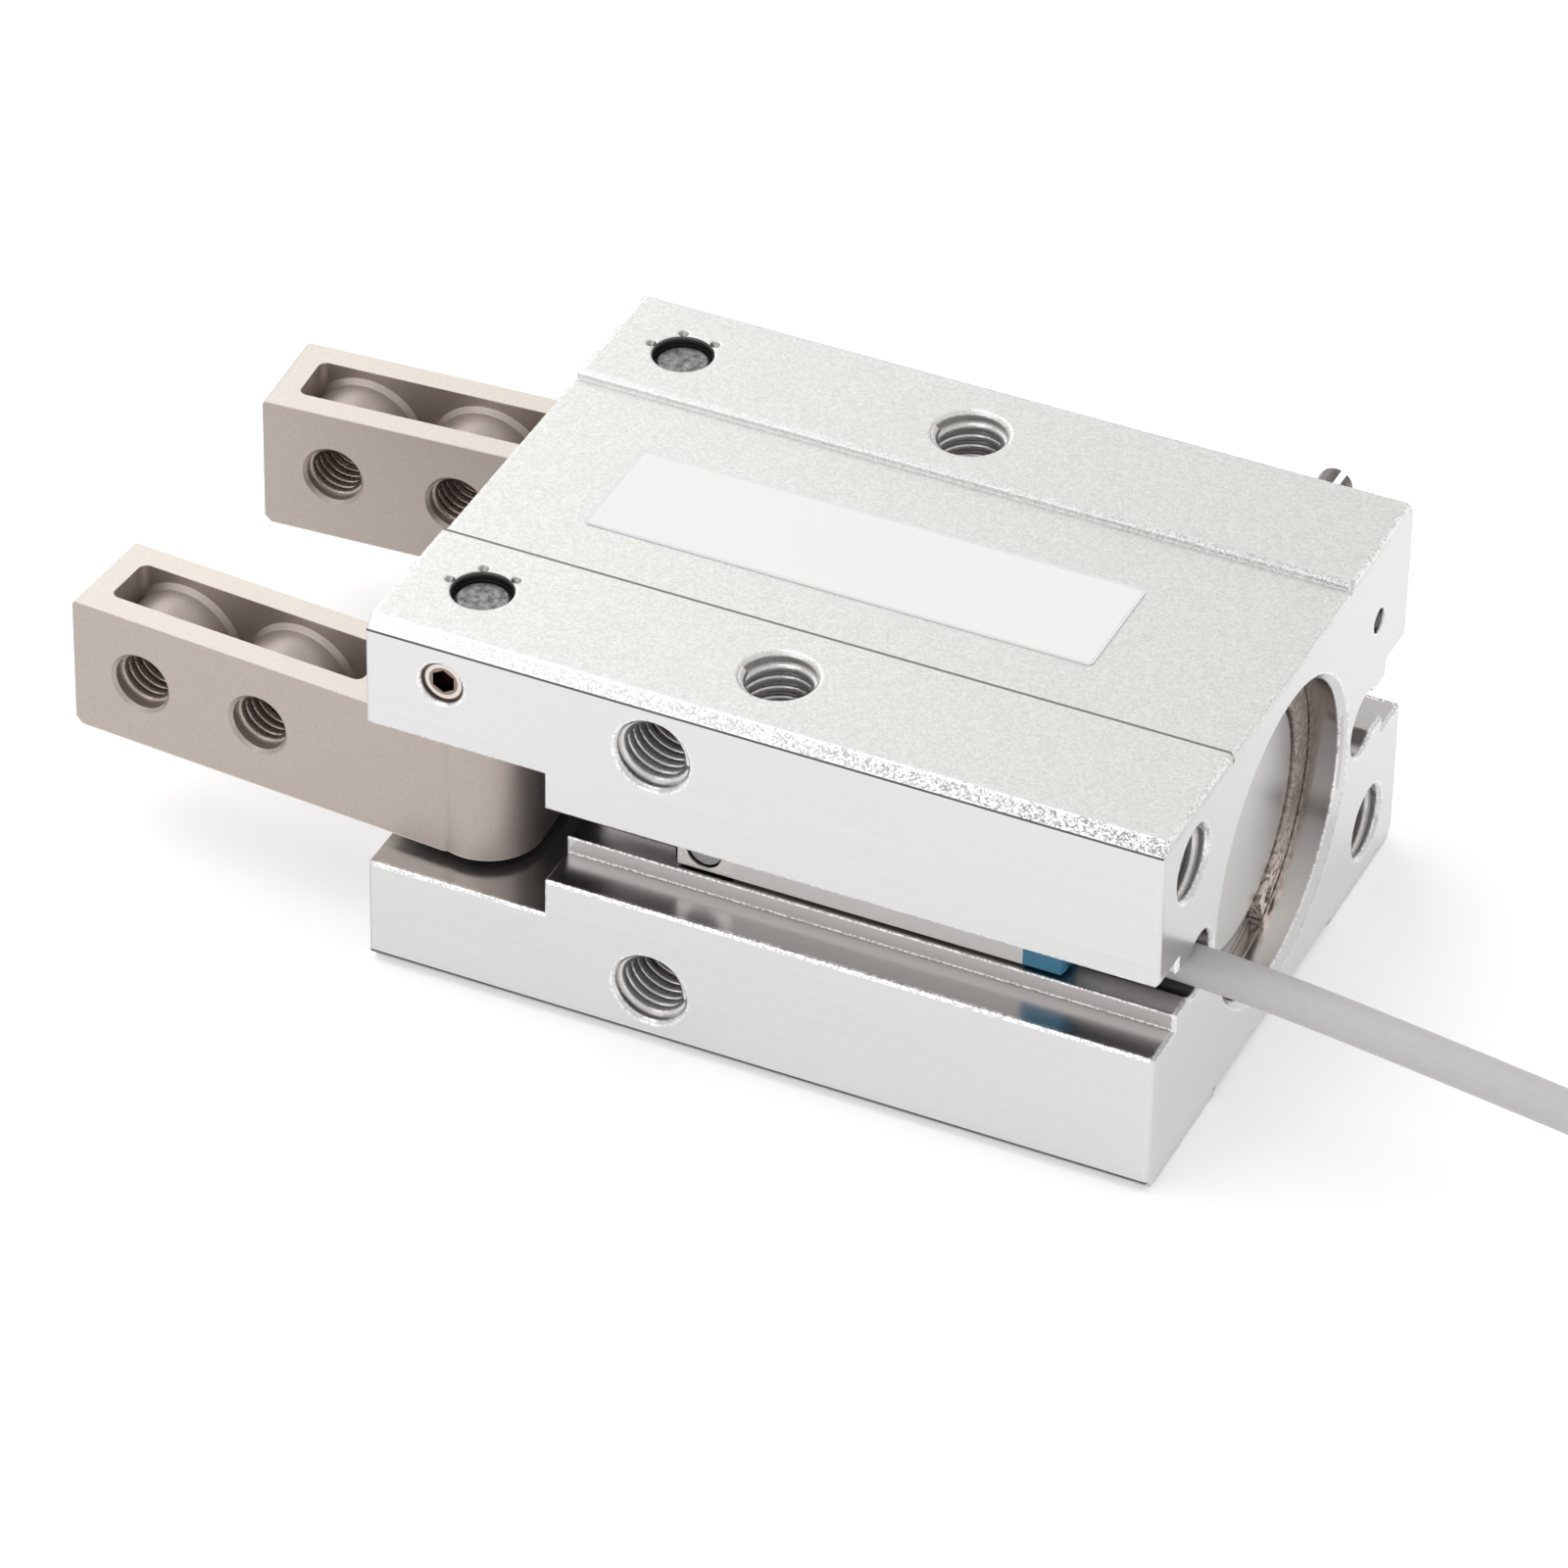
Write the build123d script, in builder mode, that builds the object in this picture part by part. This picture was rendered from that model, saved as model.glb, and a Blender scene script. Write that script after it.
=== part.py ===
"""Angular two-finger gripper driven by a double-acting air cylinder.

Frame: fingers point to -X, the cylinder cap is at +X, the side with the position switch is -Y
("near"), the air ports are on +Y ("far"), +Z is up, and the origin is the centre of the bottom face.
The fingers stand closed, as photographed. All sizes are in millimetres and degrees.
"""
from build123d import *
from math import cos, pi, radians, sin, sqrt, tan
import os

os.makedirs("parts", exist_ok=True)

# Extruded body
body_length = 55.2
body_width = 42.0
body_height = 27.6
edge_chamfer = 0.8
end_chamfer = 0.2
strip_width = 19.8
strip_depth = 0.35

# Switch slot along each side: a wide mouth, a narrow lip and a round groove
mouth_height = 5.8
mouth_depth = 3.3
lip_gap = 3.3
groove_radius = 2.25
groove_inset = 6.85

# Open gap at the front, where the levers swing
gap_depth = 12.7
gap_height = 11.3

# Lever pivots
pivot_setback = 5.3
pivot_inset = 6.0
pin_radius = 2.0
pin_recess = 0.6
pin_lead_in = 0.15
stake_offset = 2.45
stake_radius = 0.4
stake_depth = 0.3
stake_spacing = 60.0
stake_first = 54.0

# Levers with their fingers
finger_reach = 28.95
finger_width = 7.6
finger_thickness = 9.9
hub_setback = 0.4
closed_angle = 4.0
open_angle = 15.0
tip_round = 1.0
tip_edge = 0.25
tip_foot = 0.5
pocket_start = 8.0
pocket_side_wall = 1.75
pocket_tip_wall = 1.85
pocket_round = 0.6
boss_radius = 3.95
boss_flare = 0.35
finger_hole_first = 14.85
finger_hole_spacing = 9.0

# Lever arm, side roller and rod joint
roller_offset = 5.33
arm_end_radius = 2.0
fork_gap = 5.5
fork_clearance = 1.2
roller_radius = 1.8
roller_end_play = 0.15
roller_pin_radius = 1.0
joint_flange = 1.4
joint_web_width = 5.8
joint_flange_reach = 7.4
joint_side_play = 0.3

# Cylinder, from the cap end forward
bore_radius = 10.0
cap_step = 0.75
rim_chamfer = 0.5
ring_inset = 2.6
ring_thickness = 1.0
ring_bite = 0.55
ring_width = 2.4
ring_opening = 46.0
ring_hole_radius = 0.55
cap_thickness = 4.5
cap_boss_height = 0.7
cap_boss_radius = 8.5
bumper_thickness = 1.5
cap_bumper_radius = 6.0
rod_bumper_radius = 8.5
piston_length = 12.8
piston_nose = 3.0
piston_nose_step = 0.9
seal_width = 2.4
seal_depth = 2.2
seal_setback = 1.2
magnet_width = 3.0
magnet_cover = 0.35
rod_radius = 4.0
rod_tail_radius = 2.5
rod_seal_width = 2.5
rod_seal_height = 2.0
rod_seal_setback = 3.0
cap_seal_height = 1.2
cap_seal_width = 1.6

# Threads, drawn plain at their outer diameter
m5_radius = 2.5
m4_radius = 2.0
m3_radius = 1.5
m25_radius = 1.25
thread_lead_in = 0.25
mount_depth = 8.0
port_depth = 5.0

# Mounting holes, ports and screws in the body
top_hole_x = -1.45
top_hole_spacing = 30.0
side_hole_x = -7.45
side_hole_spacing = 18.8
rear_hole_y = 16.0
rear_hole_rise = 9.3
set_screw_drop = 3.5
set_screw_sink = 0.35
hex_ratio = 0.5
socket_depth = 1.3
closing_port_x = 4.4
opening_port_x = 12.6
passage_inset = 5.4
port_rise = 7.4
passage_radius = 0.9
ball_sink = 0.3
needle_setback = 7.2
needle_rise = 9.8
needle_bore_depth = 6.0
needle_stem_radius = 1.2
needle_reach = 4.6
needle_cone = 2.0
needle_slot_width = 0.45
needle_slot_depth = 1.5
needle_slot_turn = 62.0

# Rod bolt
bolt_head_radius = 2.2
bolt_head_height = 2.4
bolt_grip = 6.0

# Position switch in the near slot
switch_setback = 7.8
switch_clip_length = 4.1
switch_length = 27.3
switch_end_length = 2.9
switch_face_sink = 0.4
switch_neck = 2.9
switch_screw_inset = 2.1
switch_screw_radius = 1.15
switch_screw_sink = 0.25
switch_slot_width = 0.4
switch_slot_depth = 0.5

# Lead
lead_radius = 1.35
lead_bend_share = 0.45
coil_mid_radius = 16.0
coil_turns = 4
coil_corner_share = 0.9
coil_stub = 10.0
coil_run_in = 6.5
coil_distance = 39.7
coil_y = 23.25
tail_turn = 35.0
core_radius = 0.45
core_length = 9.0
core_spread = 0.6

# Clearances
press_gap = 0.01
running_gap = 0.03
slide_gap = 0.04
loose_gap = 0.1
end_gap = 0.3

# Places worked out from the sizes
half_width = body_width / 2
front_x = -body_length / 2
rear_x = body_length / 2
mid_z = body_height / 2
groove_y = half_width - groove_inset
passage_y = half_width - passage_inset
gap_floor_x = front_x + gap_depth
pivot_x = front_x + pivot_setback
pivot_y = half_width - pivot_inset
half_thickness = finger_thickness / 2
half_swing = (closed_angle + open_angle) / 2
arm_lean = half_swing - closed_angle
arm_reach = (pivot_y - roller_offset) / cos(radians(half_swing))
crank_x = pivot_x + arm_reach * sin(radians(half_swing))
stroke = 2 * arm_reach * sin(radians(half_swing))
joint_slot = roller_radius + slide_gap
joint_half = joint_slot + joint_flange
joint_rear_x = crank_x + joint_half
pin_hole_radius = pin_radius + press_gap

cap_bore_radius = bore_radius + cap_step
ring_rear_x = rear_x - ring_inset
ring_front_x = ring_rear_x - ring_thickness
ring_groove_radius = cap_bore_radius + ring_bite
cap_rear_x = ring_front_x - loose_gap / 2
cap_front_x = cap_rear_x - cap_thickness
piston_rear_x = cap_front_x - bumper_thickness - end_gap
piston_front_x = piston_rear_x - piston_length
chamber_front_x = piston_front_x - stroke - end_gap - bumper_thickness
seal_rear_x = chamber_front_x - rod_seal_setback
seal_front_x = seal_rear_x - rod_seal_width
axis_line = Axis((0, 0, mid_z), (1, 0, 0))


def outward_hole(point, outward, radius, lead_in, depth):
    """Cut a round hole with a chamfered mouth, from a point on a face, into the part being built."""
    with Locations(Plane(origin=point, z_dir=outward)):
        CounterSinkHole(radius, radius + lead_in, depth, 90)


def turned_ring(inner, outer, start_x, length):
    """Return a ring about the cylinder axis."""
    with BuildPart() as ring:
        with BuildSketch(Plane.YZ.offset(start_x)):
            with Locations((0, mid_z)):
                Circle(outer)
                Circle(inner, mode=Mode.SUBTRACT)
        extrude(amount=length)
    return ring.part


def finish_piece(part, name):
    """Label a finished piece and write it to its own file."""
    part.label = name
    export_step(part, f"parts/{name}.step")


# Body: sawn from an aluminium extrusion, then bored, slotted, drilled and tapped
with BuildPart() as body:
    with BuildSketch(Plane.YZ.offset(front_x)) as body_section:
        with Locations((0, mid_z)):
            Rectangle(body_width, body_height)
        chamfer(body_section.vertices(), edge_chamfer)
        with Locations((0, body_height - strip_depth / 2), (0, strip_depth / 2)):
            Rectangle(strip_width, strip_depth, mode=Mode.SUBTRACT)
        for side in (-1, 1):
            with Locations((side * (half_width - mouth_depth / 2), mid_z)):
                Rectangle(mouth_depth, mouth_height, mode=Mode.SUBTRACT)
            with Locations((side * (groove_y + half_width) / 2, mid_z)):
                Rectangle(groove_inset, lip_gap, mode=Mode.SUBTRACT)
            with Locations((side * groove_y, mid_z)):
                Circle(groove_radius, mode=Mode.SUBTRACT)
    extrude(amount=body_length)
    end_faces = body.faces().filter_by(Axis.X).sort_by(Axis.X)
    chamfer(end_faces[-1].outer_wire().edges(), end_chamfer)
    with BuildSketch(Plane.XZ):
        with Locations((front_x + gap_depth / 2, mid_z)):
            Rectangle(gap_depth, gap_height)
    extrude(amount=body_width, both=True, mode=Mode.SUBTRACT)
    with BuildSketch(Plane.XZ):
        with BuildLine():
            Polyline(
                (gap_floor_x - end_gap, mid_z),
                (gap_floor_x - end_gap, mid_z + rod_radius + running_gap),
                (seal_front_x, mid_z + rod_radius + running_gap),
                (seal_front_x, mid_z + rod_radius + rod_seal_height),
                (seal_rear_x, mid_z + rod_radius + rod_seal_height),
                (seal_rear_x, mid_z + rod_radius + running_gap),
                (chamber_front_x, mid_z + rod_radius + running_gap),
                (chamber_front_x, mid_z + bore_radius),
                (cap_front_x, mid_z + bore_radius),
                (cap_front_x, mid_z + cap_bore_radius),
                (ring_front_x - loose_gap / 2, mid_z + cap_bore_radius),
                (ring_front_x - loose_gap / 2, mid_z + ring_groove_radius),
                (ring_rear_x + loose_gap / 2, mid_z + ring_groove_radius),
                (ring_rear_x + loose_gap / 2, mid_z + cap_bore_radius),
                (rear_x - rim_chamfer, mid_z + cap_bore_radius),
                (rear_x, mid_z + cap_bore_radius + rim_chamfer),
                (rear_x, mid_z),
                close=True,
            )
        make_face()
    revolve(axis=axis_line, mode=Mode.SUBTRACT)
    for side in (-1, 1):
        # Pivot pin bores, right through both slabs, and the set screw that holds each pin
        outward_hole(
            (pivot_x, side * pivot_y, body_height),
            (0, 0, 1),
            pin_hole_radius,
            pin_lead_in,
            body_height,
        )
        outward_hole((pivot_x, side * pivot_y, 0), (0, 0, -1), pin_hole_radius, pin_lead_in, mid_z)
        # Punch marks that close the bore's rim over the pin
        for n in range(3):
            stake_turn = radians(stake_first + n * stake_spacing)
            stake_x = pivot_x + stake_offset * cos(stake_turn)
            stake_y = side * pivot_y + stake_offset * sin(stake_turn)
            with Locations((stake_x, stake_y, body_height - stake_depth / 2)):
                Cone(0, stake_radius, stake_depth, mode=Mode.SUBTRACT)
        outward_hole(
            (pivot_x, side * half_width, body_height - set_screw_drop),
            (0, side, 0),
            m3_radius + press_gap,
            thread_lead_in / 2,
            half_width - pivot_y,
        )
        outward_hole(
            (top_hole_x, side * top_hole_spacing / 2, body_height),
            (0, 0, 1),
            m5_radius,
            thread_lead_in,
            mount_depth,
        )
        outward_hole(
            (side_hole_x, -half_width, mid_z + side * side_hole_spacing / 2),
            (0, -1, 0),
            m5_radius,
            thread_lead_in,
            mount_depth,
        )
        outward_hole(
            (rear_x, side * rear_hole_y, mid_z - side * rear_hole_rise),
            (1, 0, 0),
            m5_radius,
            thread_lead_in,
            mount_depth,
        )
    # Air side: two ports, the long passage drilled from the rear, and the needle's bore
    port_z = mid_z + port_rise
    for port_x in (closing_port_x, opening_port_x):
        outward_hole((port_x, half_width, port_z), (0, 1, 0), m5_radius, thread_lead_in, port_depth)
    with Locations(Plane(origin=(closing_port_x, half_width, port_z), z_dir=(0, 1, 0))):
        Hole(passage_radius, half_width)
    with Locations(Plane(origin=(rear_x, passage_y, port_z), z_dir=(1, 0, 0))):
        Hole(passage_radius, rear_x - opening_port_x)
    needle_x = rear_x - needle_setback
    needle_z = mid_z + needle_rise
    outward_hole(
        (needle_x, half_width, needle_z),
        (0, 1, 0),
        m4_radius + press_gap,
        thread_lead_in,
        needle_bore_depth,
    )
finish_piece(body.part, "body")

# Levers: each finger is one sintered steel lever, its pocket bridged by the bosses of two tapped holes
for side, side_name in ((-1, "near"), (1, "far")):
    # Local x runs to the fingertip; outward * y points away from the other finger
    outward = -side
    finger_plane = Plane(
        origin=(pivot_x, side * pivot_y, mid_z - half_thickness),
        x_dir=(-cos(radians(closed_angle)), -side * sin(radians(closed_angle)), 0),
        z_dir=(0, 0, 1),
    )
    arm_turn = -outward * (90 + arm_lean)
    crank_point = (-arm_reach * sin(radians(arm_lean)), -outward * arm_reach * cos(radians(arm_lean)))
    hole_places = [finger_hole_first + n * finger_hole_spacing for n in range(2)]
    with BuildPart() as finger:
        with BuildSketch(finger_plane) as finger_outline:
            with Locations((finger_reach / 2, 0)):
                Rectangle(finger_reach, finger_width)
            tip_corners = finger_outline.vertices().sort_by(Axis((0, 0, 0), finger_plane.x_dir))[-2:]
            inner_corner = tip_corners.sort_by(Axis((0, 0, 0), (0, side, 0)))[0]
            fillet(inner_corner, tip_round)
        extrude(amount=finger_thickness)
        tip_face = finger.faces().sort_by(Axis((0, 0, 0), finger_plane.x_dir))[-1]
        tip_edges = tip_face.edges().filter_by(Plane.XY).sort_by(Axis.Z)
        chamfer(tip_edges[-1], tip_edge)
        chamfer(tip_edges[0], tip_foot)
        # Hub and arm: a tapering web drawn round the pivot and the roller pin
        with BuildSketch(finger_plane):
            with Locations((-hub_setback, 0)):
                Circle(finger_width / 2)
            with Locations(crank_point):
                Circle(arm_end_radius)
            make_hull()
        extrude(amount=finger_thickness)
        # Pocket, open above and below
        with BuildSketch(finger_plane):
            pocket_length = finger_reach - pocket_tip_wall - pocket_start
            with Locations((pocket_start + pocket_length / 2, 0)):
                RectangleRounded(pocket_length, finger_width - 2 * pocket_side_wall, pocket_round)
        extrude(amount=finger_thickness, mode=Mode.SUBTRACT)
        # Spool-shaped bosses across the pocket, flared where they meet its walls
        boss_half = finger_width / 2 - pocket_side_wall
        for place in hole_places:
            boss_plane = Plane(
                origin=finger_plane.from_local_coords((place, 0, half_thickness)),
                x_dir=finger_plane.y_dir,
                z_dir=-finger_plane.x_dir,
            )
            with BuildSketch(boss_plane):
                with BuildLine():
                    Polyline(
                        (-boss_half, 0),
                        (-boss_half, boss_radius + boss_flare),
                        (-boss_half + boss_flare, boss_radius),
                        (boss_half - boss_flare, boss_radius),
                        (boss_half, boss_radius + boss_flare),
                        (boss_half, 0),
                        close=True,
                    )
                make_face()
            revolve(axis=Axis(boss_plane.origin, finger_plane.y_dir))
        # Tapped holes right through both walls and the boss
        for place in hole_places:
            for face in (-1, 1):
                outward_hole(
                    finger_plane.from_local_coords((place, face * finger_width / 2, half_thickness)),
                    finger_plane.y_dir * face,
                    m4_radius,
                    thread_lead_in,
                    finger_width,
                )
        # Pivot bore, roller pin bore and the fork slot for the roller
        with BuildSketch(finger_plane):
            Circle(pin_radius + running_gap)
            with Locations(crank_point):
                Circle(roller_pin_radius + press_gap)
        extrude(amount=finger_thickness, mode=Mode.SUBTRACT)
        fork_root = arm_reach - roller_radius - fork_clearance
        fork_length = arm_reach + 2 * arm_end_radius - fork_root
        fork_middle = fork_root + fork_length / 2
        with BuildSketch(finger_plane.offset(half_thickness)):
            with Locations(
                Location(
                    (
                        crank_point[0] * fork_middle / arm_reach,
                        crank_point[1] * fork_middle / arm_reach,
                    ),
                    arm_turn,
                )
            ):
                Rectangle(fork_length, 2 * finger_width)
        extrude(amount=fork_gap / 2, both=True, mode=Mode.SUBTRACT)
    finish_piece(finger.part, f"{side_name}_finger")

    # Side roller and its pin in the fork
    crank_plane = Plane(origin=(crank_x, side * roller_offset, mid_z), z_dir=(0, 0, 1))
    with BuildPart() as roller:
        with BuildSketch(crank_plane.offset(roller_end_play - fork_gap / 2)):
            Circle(roller_radius)
            Circle(roller_pin_radius + running_gap, mode=Mode.SUBTRACT)
        extrude(amount=fork_gap - 2 * roller_end_play)
    finish_piece(roller.part, f"{side_name}_roller")
    with BuildPart() as roller_pin:
        with BuildSketch(crank_plane.offset(-half_thickness)):
            Circle(roller_pin_radius)
        extrude(amount=finger_thickness)
    finish_piece(roller_pin.part, f"{side_name}_roller_pin")

    # Pivot pin: a ground steel pin through both slabs of the body
    with BuildPart() as pivot_pin:
        with BuildSketch(Plane.XY.offset(pin_recess)):
            with Locations((pivot_x, side * pivot_y)):
                Circle(pin_radius)
        extrude(amount=body_height - 2 * pin_recess)
        chamfer(pivot_pin.edges().filter_by(GeomType.CIRCLE), pin_lead_in)
    finish_piece(pivot_pin.part, f"{side_name}_pivot_pin")

# Set screws that hold the pivot pins, one in each side of the upper slab
with BuildPart() as set_screws:
    for side in (-1, 1):
        screw_length = half_width - set_screw_sink - pivot_y - pin_radius - press_gap
        head_plane = Plane(
            origin=(pivot_x, side * (half_width - set_screw_sink), body_height - set_screw_drop),
            z_dir=(0, side, 0),
        )
        with BuildSketch(head_plane):
            Circle(m3_radius)
        extrude(amount=-screw_length)
        with BuildSketch(head_plane):
            RegularPolygon(m3_radius * hex_ratio, 6, major_radius=False)
        extrude(amount=-socket_depth, mode=Mode.SUBTRACT)
finish_piece(set_screws.part, "pivot_set_screws")

# Piston: turned aluminium, with a small nose, a seal groove and a magnet groove
seal_x = piston_front_x + piston_nose + seal_setback
magnet_x = seal_x + seal_width + seal_setback
piston_radius = bore_radius - 2 * running_gap
groove_floor = piston_radius - seal_depth
with BuildPart() as piston:
    with BuildSketch(Plane.XZ):
        with BuildLine():
            Polyline(
                (piston_front_x, mid_z + rod_tail_radius + press_gap),
                (piston_front_x, mid_z + piston_radius - piston_nose_step),
                (piston_front_x + piston_nose, mid_z + piston_radius - piston_nose_step),
                (piston_front_x + piston_nose, mid_z + piston_radius),
                (seal_x, mid_z + piston_radius),
                (seal_x, mid_z + groove_floor),
                (seal_x + seal_width, mid_z + groove_floor),
                (seal_x + seal_width, mid_z + piston_radius),
                (magnet_x, mid_z + piston_radius),
                (magnet_x, mid_z + groove_floor),
                (magnet_x + magnet_width, mid_z + groove_floor),
                (magnet_x + magnet_width, mid_z + piston_radius),
                (piston_rear_x, mid_z + piston_radius),
                (piston_rear_x, mid_z + rod_tail_radius + press_gap),
                close=True,
            )
        make_face()
    revolve(axis=axis_line)
finish_piece(piston.part, "piston")
finish_piece(
    turned_ring(
        groove_floor + press_gap,
        bore_radius - running_gap,
        seal_x + press_gap,
        seal_width - 2 * press_gap,
    ),
    "piston_seal",
)
finish_piece(
    turned_ring(
        groove_floor + press_gap,
        piston_radius - magnet_cover,
        magnet_x + press_gap,
        magnet_width - 2 * press_gap,
    ),
    "piston_magnet",
)

# Piston rod: ground steel, its thinner tail pressed through the piston, its nose tapped for the joint bolt
with BuildPart() as piston_rod:
    with BuildSketch(Plane.YZ.offset(joint_rear_x)):
        with Locations((0, mid_z)):
            Circle(rod_radius)
    extrude(amount=piston_front_x - joint_rear_x)
    with BuildSketch(Plane.YZ.offset(piston_front_x)):
        with Locations((0, mid_z)):
            Circle(rod_tail_radius)
    extrude(amount=piston_length)
    with BuildSketch(Plane.YZ.offset(joint_rear_x)):
        with Locations((0, mid_z)):
            Circle(m25_radius + press_gap)
    extrude(amount=bolt_grip + end_gap, mode=Mode.SUBTRACT)
finish_piece(piston_rod.part, "piston_rod")

# Rod joint: an H-shaped block whose two flanges hold a side roller on each side of its web
with BuildPart() as rod_joint:
    with BuildSketch(Plane.XY.offset(mid_z)):
        for flange_x in (crank_x - joint_half + joint_flange / 2, crank_x + joint_half - joint_flange / 2):
            with Locations((flange_x, 0)):
                Rectangle(joint_flange, 2 * joint_flange_reach)
    extrude(amount=fork_gap / 2 - joint_side_play, both=True)
    chamfer(rod_joint.edges().filter_by(Axis.Z), tip_edge)
    with BuildSketch(Plane.XY.offset(mid_z)):
        with Locations((crank_x, 0)):
            Rectangle(2 * joint_half, joint_web_width)
    extrude(amount=half_thickness, both=True)
    with Locations(Plane(origin=(crank_x - joint_half, 0, mid_z), z_dir=(-1, 0, 0))):
        CounterBoreHole(
            m25_radius + loose_gap,
            bolt_head_radius + loose_gap,
            bolt_head_height,
            2 * joint_half,
        )
finish_piece(rod_joint.part, "rod_joint")

# Joint bolt: a socket screw from the front, through the joint, into the rod
with BuildPart() as joint_bolt:
    with BuildSketch(Plane.YZ.offset(crank_x - joint_half)):
        with Locations((0, mid_z)):
            Circle(bolt_head_radius)
    extrude(amount=bolt_head_height)
    with BuildSketch(Plane.YZ.offset(crank_x - joint_half + bolt_head_height)):
        with Locations((0, mid_z)):
            Circle(m25_radius)
    extrude(amount=2 * joint_half - bolt_head_height + bolt_grip)
    with BuildSketch(Plane.YZ.offset(crank_x - joint_half)):
        with Locations((0, mid_z)):
            RegularPolygon(bolt_head_radius * hex_ratio, 6, major_radius=False)
    extrude(amount=socket_depth, mode=Mode.SUBTRACT)
finish_piece(joint_bolt.part, "joint_bolt")

# Seals and rubber stops
finish_piece(
    turned_ring(
        rod_radius + running_gap,
        rod_radius + rod_seal_height - press_gap,
        seal_front_x + press_gap,
        rod_seal_width - 2 * press_gap,
    ),
    "rod_seal",
)
finish_piece(
    turned_ring(rod_radius + end_gap, rod_bumper_radius, chamber_front_x, bumper_thickness),
    "rod_bumper",
)
finish_piece(
    turned_ring(rod_tail_radius, cap_bumper_radius, cap_front_x - bumper_thickness, bumper_thickness),
    "cap_bumper",
)

# Cylinder cap: a turned aluminium disc with a seal groove, pushed in from the rear
cap_radius = cap_bore_radius - running_gap
cap_seal_x = cap_front_x + (cap_thickness - cap_seal_width) / 2
with BuildPart() as rear_cap:
    with BuildSketch(Plane.XZ):
        with BuildLine():
            Polyline(
                (cap_front_x, mid_z),
                (cap_front_x, mid_z + cap_radius),
                (cap_seal_x, mid_z + cap_radius),
                (cap_seal_x, mid_z + cap_radius - cap_seal_height),
                (cap_seal_x + cap_seal_width, mid_z + cap_radius - cap_seal_height),
                (cap_seal_x + cap_seal_width, mid_z + cap_radius),
                (cap_rear_x, mid_z + cap_radius),
                (cap_rear_x, mid_z + cap_boss_radius),
                (cap_rear_x + cap_boss_height, mid_z + cap_boss_radius),
                (cap_rear_x + cap_boss_height, mid_z),
                close=True,
            )
        make_face()
    revolve(axis=axis_line)
finish_piece(rear_cap.part, "rear_cap")
finish_piece(
    turned_ring(
        cap_radius - cap_seal_height + press_gap,
        cap_bore_radius - press_gap,
        cap_seal_x + press_gap,
        cap_seal_width - 2 * press_gap,
    ),
    "cap_seal",
)

# Retaining ring: a flat spring-steel C with plier holes, sprung into the groove behind the cap
ring_outer = ring_groove_radius - loose_gap
ring_middle = ring_outer - ring_width / 2
mouth_half = radians(ring_opening / 2)
mouth_y = 2 * ring_outer * sin(mouth_half)
mouth_z = mid_z - 2 * ring_outer * cos(mouth_half)
with BuildPart() as retaining_ring:
    with BuildSketch(Plane.YZ.offset(ring_front_x)):
        with Locations((0, mid_z)):
            Circle(ring_outer)
            Circle(ring_outer - ring_width, mode=Mode.SUBTRACT)
        with BuildLine():
            Polyline((0, mid_z), (mouth_y, mouth_z), (-mouth_y, mouth_z), close=True)
        make_face(mode=Mode.SUBTRACT)
        for side in (-1, 1):
            hole_turn = mouth_half + ring_width / 2 / ring_middle
            with Locations((side * ring_middle * sin(hole_turn), mid_z - ring_middle * cos(hole_turn))):
                Circle(ring_hole_radius, mode=Mode.SUBTRACT)
    extrude(amount=ring_thickness)
finish_piece(retaining_ring.part, "retaining_ring")

# Steel ball that plugs the drilled air passage
with BuildPart() as passage_ball:
    with Locations((rear_x - ball_sink - passage_radius, passage_y, port_z)):
        Sphere(passage_radius - press_gap)
finish_piece(passage_ball.part, "passage_ball")

# Needle screw: sets the finger speed, adjusted at its slotted stem beside the air ports
with BuildPart() as needle_screw:
    with BuildSketch(Plane.XY.offset(needle_z)):
        with BuildLine():
            Polyline(
                (needle_x, half_width - needle_bore_depth),
                (needle_x + needle_stem_radius / 2, half_width - needle_bore_depth),
                (needle_x + m4_radius, half_width - needle_bore_depth + needle_cone),
                (needle_x + m4_radius, half_width - end_gap),
                (needle_x + needle_stem_radius, half_width - end_gap),
                (needle_x + needle_stem_radius, half_width + needle_reach),
                (needle_x, half_width + needle_reach),
                close=True,
            )
        make_face()
    revolve(axis=Axis((needle_x, 0, needle_z), (0, 1, 0)))
    slot_plane = Plane(
        origin=(needle_x, half_width + needle_reach, needle_z),
        x_dir=(cos(radians(needle_slot_turn)), 0, sin(radians(needle_slot_turn))),
        z_dir=(0, 1, 0),
    )
    with BuildSketch(slot_plane):
        Rectangle(3 * needle_stem_radius, needle_slot_width)
    extrude(amount=-needle_slot_depth, mode=Mode.SUBTRACT)
finish_piece(needle_screw.part, "needle_screw")

# Position switch: a slim sensor held in the round groove by its own clip and screw
switch_rear_x = rear_x - switch_setback
switch_tip_x = switch_rear_x - switch_length
switch_end_x = switch_rear_x - switch_end_length
clip_rear_x = switch_tip_x + switch_clip_length
switch_face_y = -half_width + mouth_depth + switch_face_sink
switch_radius = groove_radius - loose_gap
neck_depth = -groove_y - switch_face_y


def switch_section(start_x):
    """Return the switch's keyhole section: round in the groove, flat-faced in the lip."""
    with BuildSketch(Plane.YZ.offset(start_x)) as section:
        with Locations((-groove_y, mid_z)):
            Circle(switch_radius)
        with Locations((-groove_y - neck_depth / 2, mid_z)):
            Rectangle(neck_depth, switch_neck)
    return section.sketch


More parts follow.
